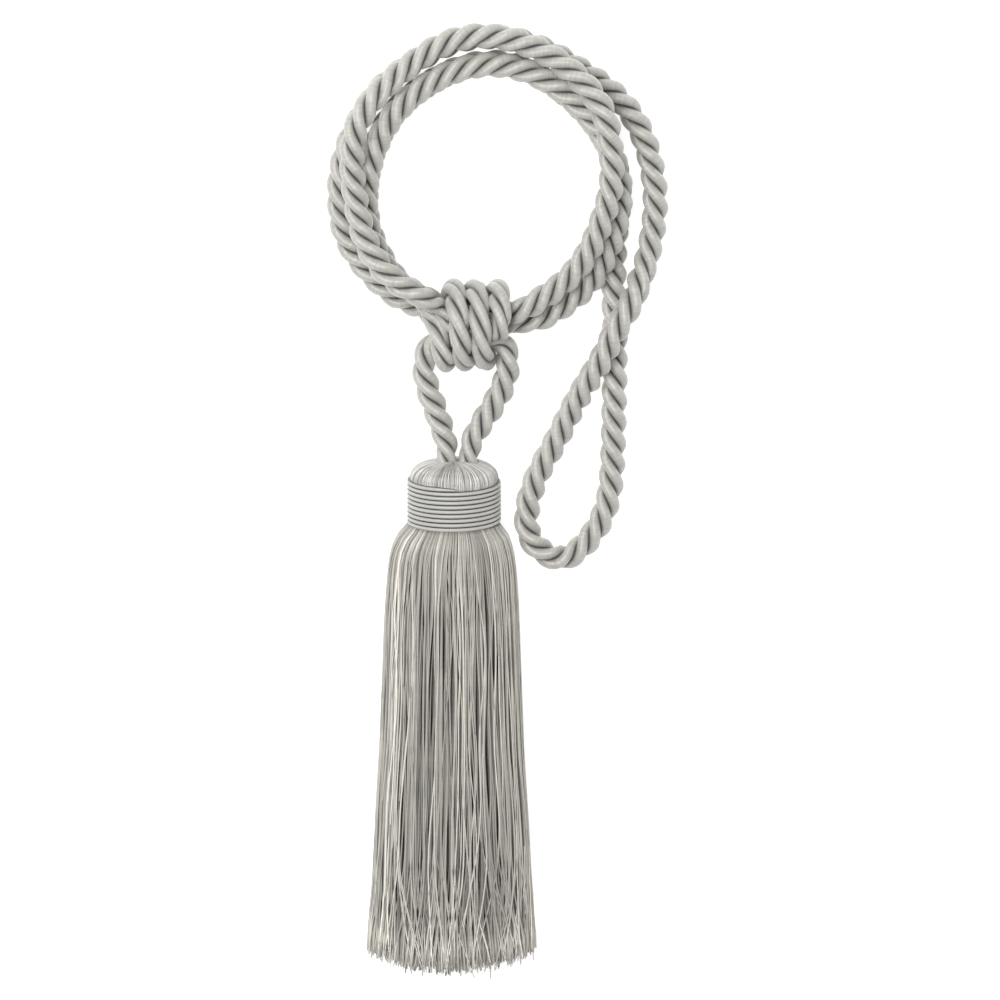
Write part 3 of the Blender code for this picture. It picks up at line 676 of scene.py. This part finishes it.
outward = np.stack([np.cos(gimp_angle), np.zeros_like(gimp_angle), np.sin(gimp_angle)], axis=1)
facing = (gimp_ring * outward[:, None, :]).sum(2)
gimp_satin = yarn_material("gimp_thread", crest=(0.512, 0.506, 0.476), furrow=(0.012, 0.012, 0.010),
                           spread=0.2, roughness=0.36, threads=2600.0, slant=2.0, bump=0.05, streaks=0.25)
gimp = skin("collar_gimp", gimp_rings[None], gimp_satin,
            depth=np.clip((GIMP_SHADE_START - facing) / GIMP_SHADE_WIDTH, 0.0, 1.0)[None], tone=0.5)
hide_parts("collar")

# ---------------------------------------------------------------------------------------------------
# The skirt: the same yarns below the collar, 1,750 long ones over a bunch whose 1,100 cut ends show.
# They hang in loose locks that lie flattened on their back; single yarns cross over, and the ends splay.
# ---------------------------------------------------------------------------------------------------
SKIRT_TOP_Y = 82.8
SKIRT_END_Y = -98.4
SKIRT_LEAN = -0.85                             # the skirt lies a little to the left of the head
LEAN_LENGTH = 14.0                             # below the collar, over which the lean comes in
# y, half width, height, depth under the surface that the round would reach if it weren't flattened
SKIRT = np.array([
    (84.0, 15.2, 32.4, 0.0),
    (81.0, 16.4, 33.6, 0.4),
    (79.2, 18.6, 35.0, 0.4),
    (76.5, 20.9, 36.0, 0.6),
    (70.0, 23.6, 36.6, 1.2),
    (61.0, 24.7, 36.2, 1.8),
    (47.0, 25.6, 35.0, 2.2),
    (30.0, 26.2, 33.4, 2.4),
    (10.0, 26.9, 31.8, 2.4),
    (-12.0, 27.8, 30.0, 2.4),
    (-34.0, 29.1, 28.4, 2.4),
    (-56.0, 30.1, 26.8, 2.4),
    (-76.0, 30.8, 25.2, 2.4),
    (-90.0, 31.2, 24.2, 2.4),
    (-106.0, 31.7, 23.4, 2.4),
])
END_LENGTHS = 1.9                              # how unevenly the ends are cut
SIDES_SOONER = 4.5                             # the sides spread out, so they end before the middle

BUNCH_SHORTER = 11.0                           # how far before the yarns' ends the bunch's body ends
BUNCH_ROWS, BUNCH_AROUND = 40, 360
BUNCH_RIDGES = 120
BUNCH_SHARE = 0.86                             # of the skirt's section, that the bunch fills,
RIDGE_SHARE = 0.02                             # and how much more it fills on its ridges,
BUNCH_ROUNDING = 0.10                          # and how much less at its end,
ROUNDING_START, ROUNDING_WIDTH = 0.9, 0.1      # which it draws in to from this share of the way down
BUNCH_LIFT = 0.6                               # above the table
RIDGE_SHADE = 0.35                             # how much less painted shade the ridges have than the rest

CUT_END_ROWS = 4
CUT_END_RADIUS = 0.42
CUT_ENDS_SHARE = 0.88                          # of the way out, how far the cut ends fill the middle
CUT_ENDS_LIFT = 0.8                            # above the table
CUT_END_SPREAD, CUT_END_TONES, CUT_END_SHADE = (0.8, 1.2), (0.1, 0.8), 0.25

YARN_ROWS = 34
ROW_SPACING = 1.15                             # above 1, the rows stand closer by the collar
YARN_SIDES = 5
YARN_RADIUS = 0.30
YARN_THICK_SPREAD = (0.80, 1.3)
YARN_NARROWED, TIP_NARROWED = 0.05, 0.25       # how much thinner a yarn is by the collar and at its tip
YARN_WAVES, WEAVE_WAVES = 6, 7
YARN_DEPTHS = 0.38                             # how unevenly deep the yarns lie,
TIP_DEPTHS = 1.5                               # and how much more so at their tips
STANDING_OUT, TIPS_STANDING_OUT = 0.4, 0.8     # the most that a yarn may stand out, and more at its tip
TABLE_GAP = 0.02
DEPTH_OVER_TABLE = 0.2                         # of a yarn's depth, that it lies above the lowest yarns
SECTION_RADIUS = 20.0                          # a yarn as deep as this would lie in the very middle
LOCK_COUNT = 104
LOCK_SPREAD = 0.011                            # of the yarns about their lock's middle, in radians
LOCK_PLACES = (0.15, 0.85)                     # within each lock's own part of the round
LOCK_WANDER = 0.036                            # of a lock's middle, in radians
LOCK_WAVES = 4
LOCK_LIFTS, LOCK_LIFT_WAVE = 0.45, 0.25        # how unevenly the locks stand out, each and along its way
LOCK_ROUNDING = 0.35                           # how fast the yarns sink away from their lock's middle
LOOSE_AT_END = 0.55                            # of a yarn's hold on its lock, that it loses by the end
LOCK_TONES = (0.20, 0.80)
LOCK_TONE_SHARE = 0.35                         # of a yarn's tone, that it has from its lock
YARN_TONES = (0.8, 1.6)                        # the two powers of a beta distribution: most yarns are dull
# The yarns' colour carries painted light at the tips, painted shade by depth, and a painted shadow by the
# collar.
TIPS_LIGHTER, TIPS_OPEN = 0.36, 0.75           # their tips catch more light, and shade each other less
SHADE_FROM, SHADE_DEPTH = -0.15, 1.40          # depths between which the shade of the yarns above sets in
COLLAR_SHADE = 0.7
# Shares of the way down, from and to which each of these changes.
GATHER, LOOSEN = (0.0, 0.22), (0.80, 1.0)
LOCKS_START, YARNS_START, LIFTS_START = (0.0, 0.4), (0.0, 0.25), (0.04, 0.3)
HELD_BY_COLLAR = (-0.30, 0.12)
SPLAY, DEEPEN, STAND_OUT = (0.72, 1.10), (0.86, 1.02), (0.8, 1.0)
WIDEN, NARROW = (0.0, 0.15), (0.96, 1.0)
LIGHTEN, OPEN, OUT_OF_SHADE = (0.88, 1.0), (0.89, 1.0), (0.008, 0.024)


def eased(value, start, end):
    """A smooth step from 0 to 1 between a start and an end."""
    t = np.clip((value - start) / (end - start), 0.0, 1.0)
    return t * t * (3.0 - 2.0 * t)


def skirt_surface(y, angle, share):
    """Points of the skirt's section at a given y: a round, flattened on the table, shrunk to its middle."""
    half, height, under = (np.interp(-y, -SKIRT[:, 0], SKIRT[:, k]) for k in (1, 2, 3))
    middle, tall = (height - under) / 2.0, (height + under) / 2.0
    x = SKIRT_LEAN * eased(SKIRT_TOP_Y - y, 0.0, LEAN_LENGTH) + half * share * np.cos(angle)
    z = middle + tall * share * np.sin(angle)
    return np.stack([x, y, z], axis=-1)


def slow_wave(count, waves, rng):
    """A smooth random wander for each yarn: a sum of a few sines with random phases along its length."""
    down = np.linspace(0.0, 1.0, YARN_ROWS)[None, :]
    total = np.zeros((count, YARN_ROWS))
    for k in range(1, waves + 1):
        size = rng.normal(0.0, 1.0 / k, (count, 1))
        phase = rng.uniform(0.0, 2.0 * np.pi, (count, 1))
        total += size * np.sin(np.pi * k * down + phase)
    return total


def cut_at(last_angle, rng):
    """The y at which each yarn is cut: a little unevenly, and sooner towards the sides."""
    uneven = END_LENGTHS * rng.normal(0.0, 1.0, last_angle.shape)
    return SKIRT_END_Y + uneven + SIDES_SOONER * np.cos(last_angle) ** 2


def yarn_tubes(lines, radius):
    """Round tubes along many lines at once, with rings square to each line."""
    heading = np.gradient(lines, axis=1)
    heading /= np.linalg.norm(heading, axis=2)[:, :, None]
    across = np.cross(heading, [0.0, 0.0, 1.0])
    across /= np.linalg.norm(across, axis=2)[:, :, None]
    up = np.cross(across, heading)
    turn = 2.0 * np.pi * np.arange(YARN_SIDES) / YARN_SIDES
    ring = np.cos(turn)[:, None] * across[:, :, None, :] + np.sin(turn)[:, None] * up[:, :, None, :]
    return lines[:, :, None, :] + ring * radius[:, :, None, None]


skirt_satin = yarn_material("tassel_yarn", crest=(0.475, 0.457, 0.412), furrow=(0.034, 0.027, 0.019),
                            spread=1.45, roughness=0.42, threads=420.0, slant=3.0, bump=0.03, streaks=0.4)

bunch_down = np.linspace(0.0, 1.0, BUNCH_ROWS)[:, None]
bunch_y = np.linspace(SKIRT_TOP_Y, SKIRT_END_Y + BUNCH_SHORTER, BUNCH_ROWS)[:, None]
bunch_angle = 2.0 * np.pi * np.arange(BUNCH_AROUND)[None, :] / BUNCH_AROUND
ridge = np.abs(np.sin(bunch_angle * BUNCH_RIDGES / 2.0))
rounding = BUNCH_ROUNDING * np.clip((bunch_down - ROUNDING_START) / ROUNDING_WIDTH, 0.0, 1.0) ** 2
bunch_share = BUNCH_SHARE + RIDGE_SHARE * ridge - rounding
bunch_rings = skirt_surface(*np.broadcast_arrays(bunch_y, bunch_angle, bunch_share))
bunch_rings[:, :, 2] = np.maximum(bunch_rings[:, :, 2], BUNCH_LIFT)
# Painted shade: the bunch lies under the long yarns, so its colour is near the furrows', lighter on its
# ridges.
bunch = skin("skirt_bunch", bunch_rings[None], skirt_satin, depth=(1.0 - RIDGE_SHADE * ridge)[None],
             tone=0.5)
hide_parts("tassel")


def skirt_cut_ends(name, count, length, seed):
    """The cut ends of the yarns in the bunch's middle: short tubes spread evenly over the skirt's end."""
    rng = np.random.default_rng(seed)
    each_row = np.ones((1, CUT_END_ROWS))
    angle = rng.uniform(0.0, 2.0 * np.pi, (count, 1)) * each_row
    share = CUT_ENDS_SHARE * np.sqrt(rng.uniform(0.0, 1.0, (count, 1))) * each_row
    y = cut_at(angle[:, -1:], rng) + length * np.linspace(1.0, 0.0, CUT_END_ROWS)[None, :]
    lines = skirt_surface(y, angle, share)
    lines[:, :, 2] = np.maximum(lines[:, :, 2], CUT_ENDS_LIFT)
    rings = yarn_tubes(lines, CUT_END_RADIUS * rng.uniform(*CUT_END_SPREAD, (count, 1)) * each_row)
    tone = rng.uniform(*CUT_END_TONES, (count, 1, 1))
    # The cut ends take a quarter of the furrows' painted shade.
    made = skin(name, rings, skirt_satin, depth=CUT_END_SHADE, tone=tone)


def skirt_yarns(name, count, depth, seed, gather=0.85, wander=0.011, weave=0.14, thick=1.0, lighter=0.0,
                splay=0.12):
    """A layer of the skirt's yarns, lying at a mean depth under the skirt's surface.

    Under the collar the yarns lie evenly side by side. Further down each is drawn to its lock's middle, the
    locks wander and stand out by their own amounts, and near the end the yarns of a lock spread again.
    """
    rng = np.random.default_rng(seed)
    down = np.linspace(0.0, 1.0, YARN_ROWS)[None, :] ** ROW_SPACING
    own_angle = 2.0 * np.pi * (np.arange(count) + rng.uniform(0.0, 1.0, count)) / count
    lock_angle = 2.0 * np.pi * (np.arange(LOCK_COUNT) + rng.uniform(*LOCK_PLACES, LOCK_COUNT)) / LOCK_COUNT
    lock_wander = LOCK_WANDER * slow_wave(LOCK_COUNT, LOCK_WAVES, rng)
    lock_path = lock_angle[:, None] + lock_wander * eased(down, *LOCKS_START)
    lock_lift = rng.normal(0.0, LOCK_LIFTS, (LOCK_COUNT, 1))
    lock_lift = lock_lift + LOCK_LIFT_WAVE * slow_wave(LOCK_COUNT, LOCK_WAVES, rng)
    lock_tone = rng.uniform(*LOCK_TONES, (LOCK_COUNT, 1))
    lock = (own_angle * LOCK_COUNT / (2.0 * np.pi)).astype(int) % LOCK_COUNT

    aside = rng.normal(0.0, 1.0, (count, 1))
    drawn = gather * eased(down, *GATHER) * (1.0 - LOOSE_AT_END * eased(down, *LOOSEN))
    apart = lock_path[lock] + LOCK_SPREAD * aside
    apart = apart + 2.0 * np.pi * np.round((own_angle[:, None] - apart) / (2.0 * np.pi))
    angle = own_angle[:, None] * (1.0 - drawn) + apart * drawn
    angle = angle + rng.normal(0.0, splay, (count, 1)) * eased(down, *SPLAY)
    angle = angle + wander * slow_wave(count, YARN_WAVES, rng) * eased(down, *YARNS_START)

    sunk = depth + LOCK_ROUNDING * drawn * aside ** 2 - lock_lift[lock] * eased(down, *LIFTS_START)
    sunk = sunk + rng.normal(0.0, YARN_DEPTHS, (count, 1))
    sunk = sunk + rng.normal(0.0, TIP_DEPTHS, (count, 1)) * eased(down, *DEEPEN)
    sunk = sunk + weave * slow_wave(count, WEAVE_WAVES, rng)
    furthest_out = STANDING_OUT + TIPS_STANDING_OUT * eased(down, *STAND_OUT)
    sunk = np.maximum(sunk, -furthest_out) * eased(down, *HELD_BY_COLLAR)

    y = SKIRT_TOP_Y + (cut_at(angle[:, -1:], rng) - SKIRT_TOP_Y) * down
    lines = skirt_surface(y, angle, 1.0 - sunk / SECTION_RADIUS)
    radius = thick * YARN_RADIUS * rng.uniform(*YARN_THICK_SPREAD, (count, 1)) * np.ones((1, YARN_ROWS))
    radius = radius * (1.0 - YARN_NARROWED * (1.0 - eased(down, *WIDEN)))
    radius = radius * (1.0 - TIP_NARROWED * eased(down, *NARROW))
    lowest = radius + TABLE_GAP + DEPTH_OVER_TABLE * np.maximum(sunk, 0.0)
    lines[:, :, 2] = np.maximum(lines[:, :, 2], lowest)

    tone = LOCK_TONE_SHARE * lock_tone[lock] + (1.0 - LOCK_TONE_SHARE) * rng.beta(*YARN_TONES, (count, 1))
    # Painted light on the tips; painted shade the deeper a yarn lies, and the collar's painted shadow on its
    # top.
    tone = tone + lighter + TIPS_LIGHTER * eased(down, *LIGHTEN)
    yarn_painted_shade = np.clip((sunk - SHADE_FROM) / SHADE_DEPTH, 0.0, 1.0) * (1.0 - TIPS_OPEN * eased(down, *OPEN))
    yarn_painted_shade = np.maximum(yarn_painted_shade, COLLAR_SHADE * (1.0 - eased(down, *OUT_OF_SHADE)))
    rings = yarn_tubes(lines, radius)
    made = skin(name, rings, skirt_satin, depth=yarn_painted_shade[:, :, None], tone=tone[:, :, None])


skirt_cut_ends("skirt_cut_ends", count=1100, length=12.0, seed=15)
skirt_yarns("skirt_inner_yarns", count=330, depth=3.2, seed=11, gather=0.5)
skirt_yarns("skirt_middle_yarns", count=560, depth=1.8, seed=12)
skirt_yarns("skirt_outer_yarns", count=560, depth=0.5, seed=13)
skirt_yarns("skirt_stray_yarns", count=300, depth=-0.15, seed=14, gather=0.3, wander=0.05, thick=0.85,
            lighter=0.22, splay=0.26)
